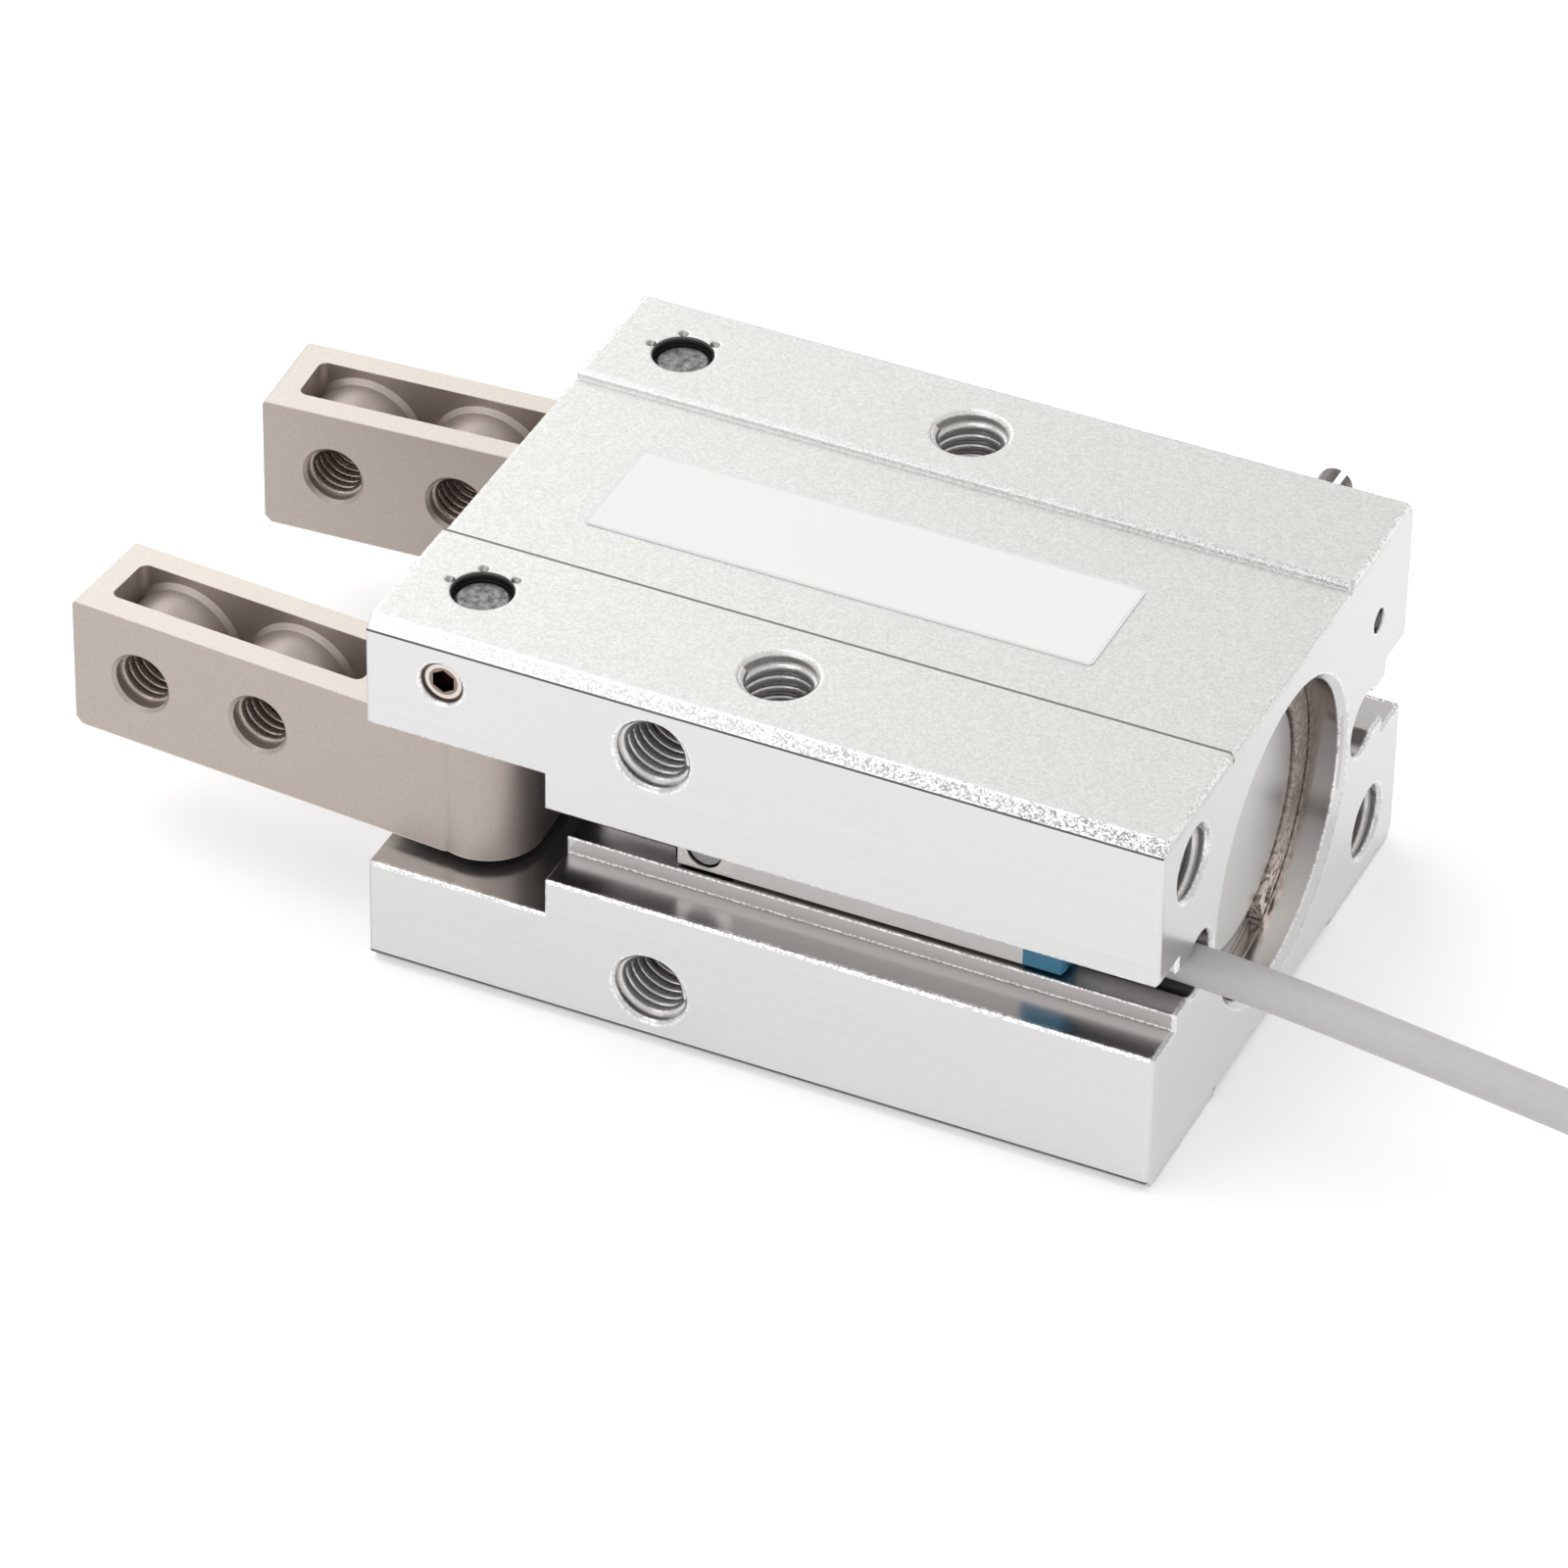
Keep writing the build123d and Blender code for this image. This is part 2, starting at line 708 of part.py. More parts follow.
screw_place = (switch_tip_x + switch_screw_inset, switch_face_y, mid_z)
with BuildPart() as switch_clip:
    extrude(switch_section(switch_tip_x), amount=switch_clip_length)
    tip_face_edges = switch_clip.faces().sort_by(Axis.X)[0].edges()
    chamfer(tip_face_edges, tip_edge)
    with Locations(Plane(origin=screw_place, z_dir=(0, -1, 0))):
        Hole(switch_screw_radius + loose_gap, neck_depth + groove_radius)
finish_piece(switch_clip.part, "switch_clip")
with BuildPart() as switch_housing:
    extrude(switch_section(clip_rear_x), amount=switch_end_x - clip_rear_x)
finish_piece(switch_housing.part, "switch_housing")
with BuildPart() as switch_end:
    extrude(switch_section(switch_end_x), amount=switch_end_length)
    chamfer(switch_end.faces().sort_by(Axis.X)[-1].edges(), tip_edge)
finish_piece(switch_end.part, "switch_end")
with BuildPart() as switch_screw:
    head_plane = Plane(
        origin=(screw_place[0], switch_face_y + switch_screw_sink, mid_z),
        x_dir=(1, 0, 0),
        z_dir=(0, -1, 0),
    )
    with BuildSketch(head_plane):
        Circle(switch_screw_radius)
    extrude(amount=-(neck_depth - switch_screw_sink + sqrt(switch_radius**2 - switch_screw_radius**2)))
    with BuildSketch(head_plane):
        Rectangle(3 * switch_screw_radius, switch_slot_width)
    extrude(amount=-switch_slot_depth, mode=Mode.SUBTRACT)
finish_piece(switch_screw.part, "switch_screw")

# Lead: 0.5 m of round 2.7 mm cable. The unseen length lies in a flat coil of four turns beside the gripper
lead_diameter = 2 * lead_radius
coil_outer_turn = coil_mid_radius + lead_radius
stub_y = coil_y - coil_stub
upper_z = 3 * lead_radius
coil_x = rear_x + coil_distance
lead_route = [
    (switch_rear_x, -groove_y, mid_z),
    (rear_x - 0.2, -groove_y, mid_z),
    (rear_x + 7.8, -groove_y - 0.4, mid_z - 0.35),
    (rear_x + 16.8, -groove_y - 1.05, mid_z - 0.95),
    (rear_x + 25.9, -groove_y - 1.75, mid_z - 1.6),
    (rear_x + 32.9, -groove_y - 1.75, mid_z - 2.6),
    (coil_x + 0.2, -14.1, 9.7),
    (coil_x + 6.3, -10.7, 7.9),
    (coil_x + 11.7, -5.7, 6.2),
    (coil_x + 15.3, 0.1, 4.9),
    (coil_x + coil_outer_turn, stub_y - coil_run_in, upper_z),
    (coil_x + coil_outer_turn, stub_y, upper_z),
]
runs = [Vector(*b) - Vector(*a) for a, b in zip(lead_route, lead_route[1:])]
turns = [radians(a.get_angle(b)) for a, b in zip(runs, runs[1:])]
lead_radii = [
    lead_bend_share * min(a.length, b.length) / tan(turn / 2)
    for a, b, turn in zip(runs, runs[1:], turns)
]
print("lead radii:", [round(r, 1) for r in lead_radii])
with BuildPart() as lead_tube:
    with BuildLine() as lead_path:
        FilletPolyline(*lead_route, radius=lead_radii)
    with BuildSketch(Plane(origin=lead_route[0], z_dir=runs[0])):
        Circle(lead_radius)
    sweep(path=lead_path.wire())
route_length = lead_path.wire().length
coil_length = 2 * pi * coil_mid_radius * coil_turns + 2 * coil_stub
print("lead tube: volume", round(lead_tube.part.volume, 2))
print("section x length", round(pi * lead_radius**2 * route_length, 2))
print("lead length with coil:", round(route_length + coil_length, 1))
finish_piece(lead_tube.part, "lead_tube")

# Coil: two turns on two turns, as one ring, with the stubs where the lead comes in and its end goes out
tail_start = (
    coil_x + coil_outer_turn * cos(radians(tail_turn)),
    coil_y + coil_outer_turn * sin(radians(tail_turn)),
    lead_radius,
)
tail_direction = (-sin(radians(tail_turn)), cos(radians(tail_turn)), 0)
with BuildPart() as lead_coil:
    with BuildSketch(Plane.XZ.offset(-coil_y)):
        with Locations((coil_x + coil_mid_radius, lead_diameter)):
            RectangleRounded(2 * lead_diameter, 2 * lead_diameter, lead_radius * coil_corner_share)
    revolve(axis=Axis((coil_x, coil_y, 0), (0, 0, 1)))
    with BuildSketch(Plane(origin=(coil_x + coil_outer_turn, stub_y, upper_z), z_dir=(0, 1, 0))):
        Circle(lead_radius)
    extrude(amount=coil_stub)
    with BuildSketch(Plane(origin=tail_start, z_dir=tail_direction)):
        Circle(lead_radius)
    extrude(amount=coil_stub)
finish_piece(lead_coil.part, "lead_coil")

# Bare ends of the lead's cores
with BuildPart() as lead_cores:
    cores_plane = Plane(
        origin=Vector(*tail_start) + Vector(*tail_direction) * coil_stub,
        z_dir=tail_direction,
    )
    with BuildSketch(cores_plane):
        with Locations((-core_spread, 0), (core_spread, 0)):
            Circle(core_radius)
    extrude(amount=core_length)
finish_piece(lead_cores.part, "lead_cores")
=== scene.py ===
import math

import bmesh
import bpy
from mathutils import Matrix, Vector


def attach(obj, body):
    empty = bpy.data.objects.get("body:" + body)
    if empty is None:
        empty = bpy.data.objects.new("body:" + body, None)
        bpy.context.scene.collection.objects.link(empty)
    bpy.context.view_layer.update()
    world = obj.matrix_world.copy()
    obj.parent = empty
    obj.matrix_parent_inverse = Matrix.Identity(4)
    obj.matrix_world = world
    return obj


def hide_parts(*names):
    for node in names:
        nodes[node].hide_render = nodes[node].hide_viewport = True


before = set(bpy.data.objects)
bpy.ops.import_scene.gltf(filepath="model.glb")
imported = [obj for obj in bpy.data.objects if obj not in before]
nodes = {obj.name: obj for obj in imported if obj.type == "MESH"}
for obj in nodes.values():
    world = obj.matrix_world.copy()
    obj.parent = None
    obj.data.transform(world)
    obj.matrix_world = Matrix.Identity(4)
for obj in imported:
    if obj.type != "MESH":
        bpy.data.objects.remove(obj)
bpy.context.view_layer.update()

# Camera. It stands a little over half a metre away, level with the switch side, and looks down on the
# gripper through a long lens, so the edges stay almost parallel.
view_azimuth = math.radians(24.016)
view_elevation = math.radians(36.945)
view_roll = math.radians(1.23)
view_distance = 0.577951
view_offset = (-0.006777, 0.007461)
to_camera = Vector((
    math.sin(view_azimuth) * math.cos(view_elevation),
    -math.cos(view_azimuth) * math.cos(view_elevation),
    math.sin(view_elevation),
))
level_right = Vector((math.cos(view_azimuth), math.sin(view_azimuth), 0))
level_up = to_camera.cross(level_right)
camera_right = level_right * math.cos(view_roll) + level_up * math.sin(view_roll)
camera_up = level_up * math.cos(view_roll) - level_right * math.sin(view_roll)
camera_data = bpy.data.cameras.new("camera")
camera_data.sensor_fit = "HORIZONTAL"
camera_data.sensor_width = 36
camera_data.lens = 200.23
camera_data.clip_start = 0.01
camera = bpy.data.objects.new("camera", camera_data)
bpy.context.scene.collection.objects.link(camera)
turn = Matrix((camera_right, camera_up, to_camera)).transposed()
place = to_camera * view_distance + camera_right * view_offset[0] + camera_up * view_offset[1]
camera.matrix_world = Matrix.Translation(place) @ turn.to_4x4()
bpy.context.scene.camera = camera

# Floor. A white paper sweep: it reads as white to the eye and in the metal, and still takes the soft
# shadow that the gripper throws.


def linear(hex_text):
    """Turn an sRGB hex value into the linear colour that a shader works in."""
    channels = [int(hex_text[start:start + 2], 16) / 255 for start in (1, 3, 5)]
    return tuple(c / 12.92 if c <= 0.04045 else ((c + 0.055) / 1.055) ** 2.4 for c in channels) + (1.0,)


def add_node(tree, kind, inputs=None, **settings):
    """Add one node: its settings by name, and its inputs as plain values or as sockets to link from."""
    node = tree.nodes.new(kind)
    for name, value in settings.items():
        setattr(node, name, value)
    for key, value in (inputs or {}).items():
        if isinstance(value, bpy.types.NodeSocket):
            tree.links.new(value, node.inputs[key])
        else:
            node.inputs[key].default_value = value
    return node


def start_material(name):
    """Make an empty material and return it with its node tree."""
    material = bpy.data.materials.new(name)
    material.use_nodes = True
    material.node_tree.nodes.clear()
    return material, material.node_tree


def show_with(tree, shader):
    """Link a shader node to the material's output."""
    add_node(tree, "ShaderNodeOutputMaterial", {"Surface": shader.outputs[0]})


def reckon(tree, operation, *values):
    """Return the result of one math node."""
    return add_node(tree, "ShaderNodeMath", dict(enumerate(values)), operation=operation).outputs[0]


floor_size = 6.0
floor_lift = 0.27
floor_mesh = bpy.data.meshes.new("floor")
half_floor = floor_size / 2
floor_mesh.from_pydata(
    [(-half_floor, -half_floor, 0), (half_floor, -half_floor, 0),
     (half_floor, half_floor, 0), (-half_floor, half_floor, 0)],
    [],
    [(0, 1, 2, 3)],
)
floor = bpy.data.objects.new("floor", floor_mesh)
bpy.context.scene.collection.objects.link(floor)
paper, tree = start_material("white_paper_sweep")
light_path = add_node(tree, "ShaderNodeLightPath")
seen = reckon(tree, "MAXIMUM", light_path.outputs["Is Camera Ray"], light_path.outputs["Is Glossy Ray"])
seen = reckon(tree, "MAXIMUM", seen, light_path.outputs["Is Transmission Ray"])
glow = add_node(tree, "ShaderNodeEmission", {
    "Color": linear("#FFFFFF"), "Strength": reckon(tree, "MULTIPLY", seen, floor_lift),
})
matt = add_node(tree, "ShaderNodeBsdfDiffuse", {"Color": linear("#F4F4F4")})
show_with(tree, add_node(tree, "ShaderNodeAddShader", {0: matt.outputs[0], 1: glow.outputs[0]}))
floor_mesh.materials.append(paper)

# Light. A white room at a plain level, and three weak soft boxes: one overhead, which throws the shadow,
# one behind the left end, which shades the top from left to right, and one in front of the switch side.


def spread(tree, value, low, high, new_low=0.0, new_high=1.0):
    """Return a value spread from one range over another."""
    return add_node(tree, "ShaderNodeMapRange", {
        "Value": value, "From Min": low, "From Max": high, "To Min": new_low, "To Max": new_high,
    }).outputs[0]


bpy.context.scene.view_settings.view_transform = "Standard"
world = bpy.data.worlds.new("white_room")
world.use_nodes = True
tree = world.node_tree
tree.nodes.clear()
room_coords = add_node(tree, "ShaderNodeTexCoord")
room_height = add_node(tree, "ShaderNodeSeparateXYZ", {0: room_coords.outputs["Generated"]})
room_light = add_node(tree, "ShaderNodeBackground", {
    "Color": linear("#FEFEFE"), "Strength": spread(tree, room_height.outputs["Z"], 0.0, 0.9, 0.86, 0.8),
})
add_node(tree, "ShaderNodeOutputWorld", {"Surface": room_light.outputs[0]})
bpy.context.scene.world = world
for lamp_name, lamp_place, lamp_size, lamp_power in (
    ("overhead_box", (-0.28, -0.12, 0.75), 0.50, 1.1),
    ("rear_box", (-0.42, 0.38, 0.36), 0.40, 0.5),
    ("front_box", (-0.30, -0.75, 0.45), 0.45, 0.6),
):
    lamp_data = bpy.data.lights.new(lamp_name, "AREA")
    lamp_data.shape = "SQUARE"
    lamp_data.size = lamp_size
    lamp_data.energy = lamp_power
    lamp = bpy.data.objects.new(lamp_name, lamp_data)
    bpy.context.scene.collection.objects.link(lamp)
    lamp.location = lamp_place
    lamp.rotation_mode = "QUATERNION"
    lamp.rotation_quaternion = (-Vector(lamp_place)).to_track_quat("-Z", "Y")

# Body. An aluminium extrusion, sawn to length, milled and bored, then bead-blasted above and below and
# clear anodised all over. The blasting leaves a fine grain, and bright grit along the edges and steps.
# All sizes below are in millimetres, and mm turns them into metres
mm = 0.001


def object_point(tree):
    """Return the place on the object, whole and as its X, Y and Z."""
    coords = add_node(tree, "ShaderNodeTexCoord").outputs["Object"]
    return coords, add_node(tree, "ShaderNodeSeparateXYZ", {0: coords}).outputs


def band(tree, value, low, high):
    """Return 1 where a value lies between two limits in millimetres, and 0 elsewhere."""
    return reckon(tree, "COMPARE", value, (low + high) / 2 * mm, (high - low) / 2 * mm)


def both(tree, *shares):
    """Return the share of a surface where all the given shares hold."""
    whole = shares[0]
    for share in shares[1:]:
        whole = reckon(tree, "MULTIPLY", whole, share)
    return whole


def grained(tree, coords, grain, detail, roughness=0.5):
    """Return a noise with grains of one size in millimetres."""
    return add_node(tree, "ShaderNodeTexNoise", {
        "Vector": coords, "Scale": 1 / (grain * mm), "Detail": detail, "Roughness": roughness,
    }).outputs[0]


def off_centre(tree, first, second, centre):
    """Return how far a point lies from a centre in millimetres, by two of its coordinates."""
    offsets = [reckon(tree, "SUBTRACT", value, place * mm) for value, place in zip((first, second), centre)]
    squares = [reckon(tree, "POWER", offset, 2.0) for offset in offsets]
    return reckon(tree, "SQRT", reckon(tree, "ADD", *squares))


def blend(tree, share, under, over):
    """Return one colour laid over another, by a share from 0 to 1."""
    return add_node(tree, "ShaderNodeMix", {0: share, 6: under, 7: over}, data_type="RGBA").outputs[2]


def dress(node_names, material):
    """Give CAD nodes one material."""
    for node_name in node_names:
        mesh = nodes[node_name].data
        mesh.materials.clear()
        mesh.materials.append(material)


half_length = 27.6
half_width = 21.0
body_height = 27.6
mid_height = body_height / 2
pin_centre = (-22.3, 15.0)
# The real grains are about half this size. They are drawn as coarse as they need to show
blast_grain = 0.15
edge_grain = 0.12
material_body, tree = start_material("blasted_anodised_aluminium")
coords, (point_x, point_y, point_z) = object_point(tree)
off_middle = reckon(tree, "SUBTRACT", point_z, mid_height * mm)
height = reckon(tree, "ABSOLUTE", off_middle)
side_reach = reckon(tree, "ABSOLUTE", point_y)
end_reach = reckon(tree, "ABSOLUTE", point_x)
off_axis = off_centre(tree, off_middle, point_y, (0, 0))
off_pin = off_centre(tree, point_x, side_reach, pin_centre)
# Where each finish lies: blasted above and below, honed in the bore, as drawn in the slots and on the sides
is_blasted = band(tree, height, 13.01, 15)
in_bore = both(tree, band(tree, off_axis, 0, 11.4), band(tree, point_x, 10, 27.05))
in_slot = both(tree, band(tree, height, 0, 2.95), band(tree, side_reach, 10.5, 20.95),
               band(tree, point_x, -27.5, 27.35))
# Where the edges, the steps of the recessed strip and the marks round the pins lie, and where lines of
# painted shade go: at the foot of the side chamfers, along the near step and in the rim round each pin
edge_strip = both(tree, band(tree, side_reach, 20.15, 22), is_blasted)
edge_foot_shade = both(tree, band(tree, height, 12.85, 13.02), band(tree, side_reach, 20.9, 22))
step_strip = both(tree, band(tree, point_y, 9.7, 10.5), is_blasted)
near_step_shade_line = both(tree, band(tree, point_y, -10.12, -9.85), is_blasted)
at_step = both(tree, band(tree, side_reach, 9.6, 10.6), is_blasted)
slot_edge = both(tree, band(tree, off_middle, -3.2, -2.8), band(tree, point_x, -14.9, 27.7))
gap_edge = both(tree, band(tree, off_middle, -5.95, -5.55), band(tree, point_x, -27.7, -14.9))
side_edge = both(tree, reckon(tree, "MAXIMUM", slot_edge, gap_edge), band(tree, side_reach, 20.7, 22))
rear_edge = both(tree, band(tree, height, 13.55, 15), band(tree, end_reach, 27.35, 28))
corner = both(tree, band(tree, side_reach, 20.7, 22), band(tree, end_reach, 27.3, 28))
below_top = band(tree, height, 13.2, 13.76)
pin_rim_shade = both(tree, band(tree, off_pin, 1.9, 2.4), below_top)
punched = both(tree, band(tree, off_pin, 2.4, 3.4), below_top)
grit_strip = both(tree, reckon(tree, "MAXIMUM", edge_strip, both(tree, step_strip, 0.45)),
                  band(tree, point_z, 14, 30))
# Grain: blasted cells, bright flecks along the edges, and the die's fine lines along the extrusion
cells = add_node(tree, "ShaderNodeTexVoronoi", {"Vector": coords, "Scale": 1 / (blast_grain * mm)})
cell_tone = add_node(tree, "ShaderNodeSeparateColor", {0: cells.outputs["Color"]})
flecks = add_node(tree, "ShaderNodeTexVoronoi", {"Vector": coords, "Scale": 1 / (edge_grain * mm)})
fleck_tone = add_node(tree, "ShaderNodeSeparateColor", {0: flecks.outputs["Color"]})
grit = grained(tree, coords, 0.14, 3.0, 0.65)
draw_lines = add_node(tree, "ShaderNodeMapping", {"Vector": coords, "Scale": (1 / 14, 1 / 0.35, 1 / 0.35)})
die_lines = grained(tree, draw_lines.outputs[0], 1.0, 3.0)
tone = blend(tree, die_lines, linear("#D4D4D4"), linear("#DCDCDC"))
tone = blend(tree, in_slot, tone, linear("#C8C5C4"))
# Painted light: the bore wall is painted pale towards its foot and darker above it, as its reflections fall
bore_tone_lit_at_foot = blend(tree, spread(tree, point_z, 9 * mm, 4 * mm), linear("#A5A09D"), linear("#F2EEEA"))
tone = blend(tree, in_bore, tone, bore_tone_lit_at_foot)
tone = blend(tree, is_blasted, tone, blend(tree, cell_tone.outputs[0], linear("#D8D9D5"), linear("#EAEAE7")))
# Painted shade: the flecks' dark tone darkens from the front end towards the rear end
rearward = spread(tree, point_x, -half_length * mm, half_length * mm)
rearward_fleck_shade = blend(tree, rearward, linear("#E6E6E7"), linear("#828286"))
fleck_share = spread(tree, fleck_tone.outputs[0], 0.05, 0.8)
tone = blend(tree, grit_strip, tone, blend(tree, fleck_share, rearward_fleck_shade, linear("#FFFFFF")))
# Edges: the rounded and the true normal part only within a fraction of a millimetre of an edge
true_shape = add_node(tree, "ShaderNodeNewGeometry")
rounded = add_node(tree, "ShaderNodeBevel", {"Radius": 0.28 * mm}, samples=6)
same_way = add_node(tree, "ShaderNodeVectorMath", {
    0: rounded.outputs[0], 1: true_shape.outputs["True Normal"],
}, operation="DOT_PRODUCT")
at_edge = reckon(tree, "LESS_THAN", same_way.outputs["Value"], 0.98)
unburred = reckon(tree, "MAXIMUM", reckon(tree, "MAXIMUM", at_step, corner), band(tree, off_pin, 0, 3.4))
burred = reckon(tree, "MAXIMUM", at_edge, reckon(tree, "MAXIMUM", side_edge, rear_edge))
burr = both(tree, burred, reckon(tree, "GREATER_THAN", cell_tone.outputs[1], 0.4),
            reckon(tree, "SUBTRACT", 1.0, unburred))
tone = blend(tree, burr, tone, linear("#FFFFFF"))
# Painted shade: a dark line along the edge of the pad at the near step, on the near side only
tone = blend(tree, near_step_shade_line, tone, linear("#8C8C88"))
tone = blend(tree, punched, tone, linear("#A8A8A4"))
# Painted shade: a dark line at the foot of the side chamfers, above and below, and a dark ring in the hole round
# each pin
tone = blend(tree, reckon(tree, "MAXIMUM", edge_foot_shade, pin_rim_shade), tone, linear("#5E5E5C"))
# Painted shade: the colour darkens with ambient occlusion in the tapped holes, the slots and along the foot on the
# bench
open_sky = add_node(tree, "ShaderNodeAmbientOcclusion", {"Distance": 3 * mm}, samples=4)
unshaded_share = spread(tree, open_sky.outputs["AO"], 0.1, 0.7, 0.5, 1.0)
tone = blend(tree, unshaded_share, linear("#3C3634"), tone)
gloss = reckon(tree, "SUBTRACT", spread(tree, is_blasted, 0, 1, 0.24, 0.42), both(tree, in_bore, 0.1))
surface_height = add_node(tree, "ShaderNodeMix", {0: is_blasted, 2: die_lines, 3: grit})
relief = add_node(tree, "ShaderNodeBump", {
    "Height": surface_height.outputs[0], "Strength": spread(tree, is_blasted, 0, 1, 0.04, 0.32),
    "Distance": 0.04 * mm, "Normal": rounded.outputs[0],
})
show_with(tree, add_node(tree, "ShaderNodeBsdfPrincipled", {
    "Base Color": tone, "Metallic": 1.0, "Roughness": gloss, "Normal": relief.outputs[0],
}))
dress(["body"], material_body)

# Threads. Cut by taps, so the ridges are brighter than the skin round them. One tree winds a ridge down
# each hole, from a point at its mouth, along the way that the point faces.
thread_tree = bpy.data.node_groups.new("tapped_thread", "GeometryNodeTree")
thread_tree.interface.new_socket("Geometry", in_out="INPUT", socket_type="NodeSocketGeometry")
for input_name in ("Wall Radius", "Ridge Height", "Pitch", "Turns"):
    thread_tree.interface.new_socket(input_name, in_out="INPUT", socket_type="NodeSocketFloat")
thread_tree.interface.new_socket("Metal", in_out="INPUT", socket_type="NodeSocketMaterial")
thread_tree.interface.new_socket("Geometry", in_out="OUTPUT", socket_type="NodeSocketGeometry")
given = add_node(thread_tree, "NodeGroupInput")
depth = reckon(thread_tree, "MULTIPLY", given.outputs["Pitch"], given.outputs["Turns"])
helix = add_node(thread_tree, "GeometryNodeCurveSpiral", {
    "Resolution": 28, "Rotations": given.outputs["Turns"], "Start Radius": given.outputs["Wall Radius"],
    "End Radius": given.outputs["Wall Radius"], "Height": depth,
})
upright = add_node(thread_tree, "GeometryNodeSetCurveNormal", {"Curve": helix.outputs[0]}, mode="Z_UP")
ridge_size = add_node(thread_tree, "ShaderNodeCombineXYZ", {
    0: given.outputs["Ridge Height"], 1: reckon(thread_tree, "MULTIPLY", given.outputs["Pitch"], 0.47), 2: 1.0,
})
diamond = add_node(thread_tree, "GeometryNodeCurvePrimitiveCircle", {"Resolution": 4, "Radius": 1.0})
profile = add_node(thread_tree, "GeometryNodeTransform", {
    "Geometry": diamond.outputs["Curve"], "Scale": ridge_size.outputs[0],
})
ridge = add_node(thread_tree, "GeometryNodeCurveToMesh", {
    "Curve": upright.outputs[0], "Profile Curve": profile.outputs[0], "Fill Caps": True,
})
facing = add_node(thread_tree, "GeometryNodeInputNamedAttribute", {"Name": "facing"}, data_type="FLOAT_VECTOR")
inward = add_node(thread_tree, "FunctionNodeAlignRotationToVector", {"Vector": facing.outputs[0]}, axis="Z")
placed = add_node(thread_tree, "GeometryNodeInstanceOnPoints", {
    "Points": given.outputs["Geometry"], "Instance": ridge.outputs[0], "Rotation": inward.outputs[0],
})
realized = add_node(thread_tree, "GeometryNodeRealizeInstances", {0: placed.outputs[0]})
painted = add_node(thread_tree, "GeometryNodeSetMaterial", {
    "Geometry": realized.outputs[0], "Material": given.outputs["Metal"],
})
add_node(thread_tree, "NodeGroupOutput", {0: painted.outputs[0]})


def cut_threads(name, body, mouths, values):
    """Wind a thread into each hole: mouths are (point, way into the hole) pairs in millimetres."""
    mesh = bpy.data.meshes.new(name + "_mouths")
    mesh.from_pydata([Vector(mouth) * mm for mouth, into in mouths], [], [])
    ways = mesh.attributes.new("facing", "FLOAT_VECTOR", "POINT")
    for index, (mouth, into) in enumerate(mouths):
        ways.data[index].vector = Vector(into).normalized()
    source = bpy.data.objects.new(name + "_mouths", mesh)
    bpy.context.scene.collection.objects.link(source)
    modifier = source.modifiers.new("tapped_thread", "NODES")
    modifier.node_group = thread_tree
    for item in thread_tree.interface.items_tree:
        if item.in_out == "INPUT" and item.name in values:
            modifier[item.identifier] = values[item.name]
    evaluated = source.evaluated_get(bpy.context.evaluated_depsgraph_get())
    threads = bpy.data.objects.new(name, bpy.data.meshes.new_from_object(evaluated))
    bpy.data.objects.remove(source)
    bpy.context.scene.collection.objects.link(threads)
    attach(threads, body)
    return threads


def worked_surface(name, light, dark, grain, roughness, metallic=1.0, bump=0.2, relief=0.02):
    """Make a surface whose tone and relief follow one grain, stretched by its size in mm along X, Y and Z."""
    material, tree = start_material(name)
    coords = object_point(tree)[0]
    stretch = add_node(tree, "ShaderNodeMapping", {"Vector": coords, "Scale": [1 / size for size in grain]})
    noise = grained(tree, stretch.outputs[0], 1.0, 4.0, 0.6)
    skin = add_node(tree, "ShaderNodeBump", {"Height": noise, "Strength": bump, "Distance": relief * mm})
    show_with(tree, add_node(tree, "ShaderNodeBsdfPrincipled", {
        "Base Color": blend(tree, noise, linear(dark), linear(light)), "Metallic": metallic,
        "Roughness": spread(tree, noise, 0.3, 0.7, *roughness), "Normal": skin.outputs[0],
    }))
    return material


# Tapped aluminium: freshly cut, so almost white and shiny
tapped_aluminium = worked_surface(
    "tapped_aluminium", "#EEECEA", "#BDBAB8", (0.15, 0.15, 0.15), (0.14, 0.24), 0.75, bump=0.1,
)
m5_values = {
    "Wall Radius": 2.5 * mm, "Ridge Height": 0.4 * mm, "Pitch": 0.8 * mm, "Turns": 8.6, "Metal": tapped_aluminium,
}
thread_start = 0.5
top_start = body_height - thread_start
side_start = half_width - thread_start
rear_start = half_length - thread_start
cut_threads("mount_threads", "gripper_body", [
    *(((-1.45, side * 15, top_start), (0, 0, -1)) for side in (-1, 1)),
    *(((-7.45, -side_start, mid_height + side * 9.4), (0, 1, 0)) for side in (-1, 1)),
    *(((rear_start, side * 16, mid_height - side * 9.3), (-1, 0, 0)) for side in (-1, 1)),
], m5_values)
cut_threads("port_threads", "gripper_body", [
    ((port_x, side_start, 21.2), (0, -1, 0)) for port_x in (4.4, 12.6)
], {**m5_values, "Turns": 4.6})

